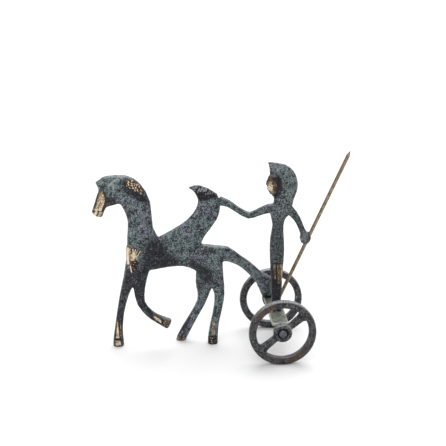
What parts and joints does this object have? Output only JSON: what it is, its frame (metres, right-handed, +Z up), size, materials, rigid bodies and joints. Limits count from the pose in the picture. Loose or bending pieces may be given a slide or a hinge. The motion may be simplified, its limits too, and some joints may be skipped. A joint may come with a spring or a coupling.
{
  "type": "winged horse and chariot statuette",
  "caption": "Small cast bronze statuette of a winged horse drawing a two wheeled chariot, with a helmeted charioteer who holds a spear.",
  "frame": {"origin": "on the ground under the middle of the overall box", "axes": "+Z up; the horse faces -X; +Y along the axle, to the side of the right wheel"},
  "size_m": [0.1724, 0.071, 0.1398],
  "materials": {
    "horse_bronze": "dark green speckled patina with rubbed brass highlights",
    "figure_bronze": "dark green speckled patina with rubbed brass on face and legs",
    "spear_rod": "dull brown drawn rod",
    "strip": "pale brushed grey green",
    "axle_rod": "dark patina",
    "wheel_bronze": "dark patina, brown and brass where the rim is worn"
  },
  "bodies": {
    "chariot": {"winged_horse": "horse_bronze", "charioteer": "figure_bronze", "spear": "spear_rod", "platform": "strip", "axle": "axle_rod"},
    "left_wheel": {"left_wheel": "wheel_bronze"},
    "right_wheel": {"right_wheel": "wheel_bronze"}
  },
  "joints": [
    {"name": "left_wheel_turn", "type": "hinge", "parent": "chariot", "child": "left_wheel", "pos_m": [0.0388, -0.03165, 0.02275], "axis": [0, 1, 0], "continuous": true},
    {"name": "right_wheel_turn", "type": "hinge", "parent": "chariot", "child": "right_wheel", "pos_m": [0.0388, 0.03165, 0.02275], "axis": [0, 1, 0], "continuous": true}
  ]
}
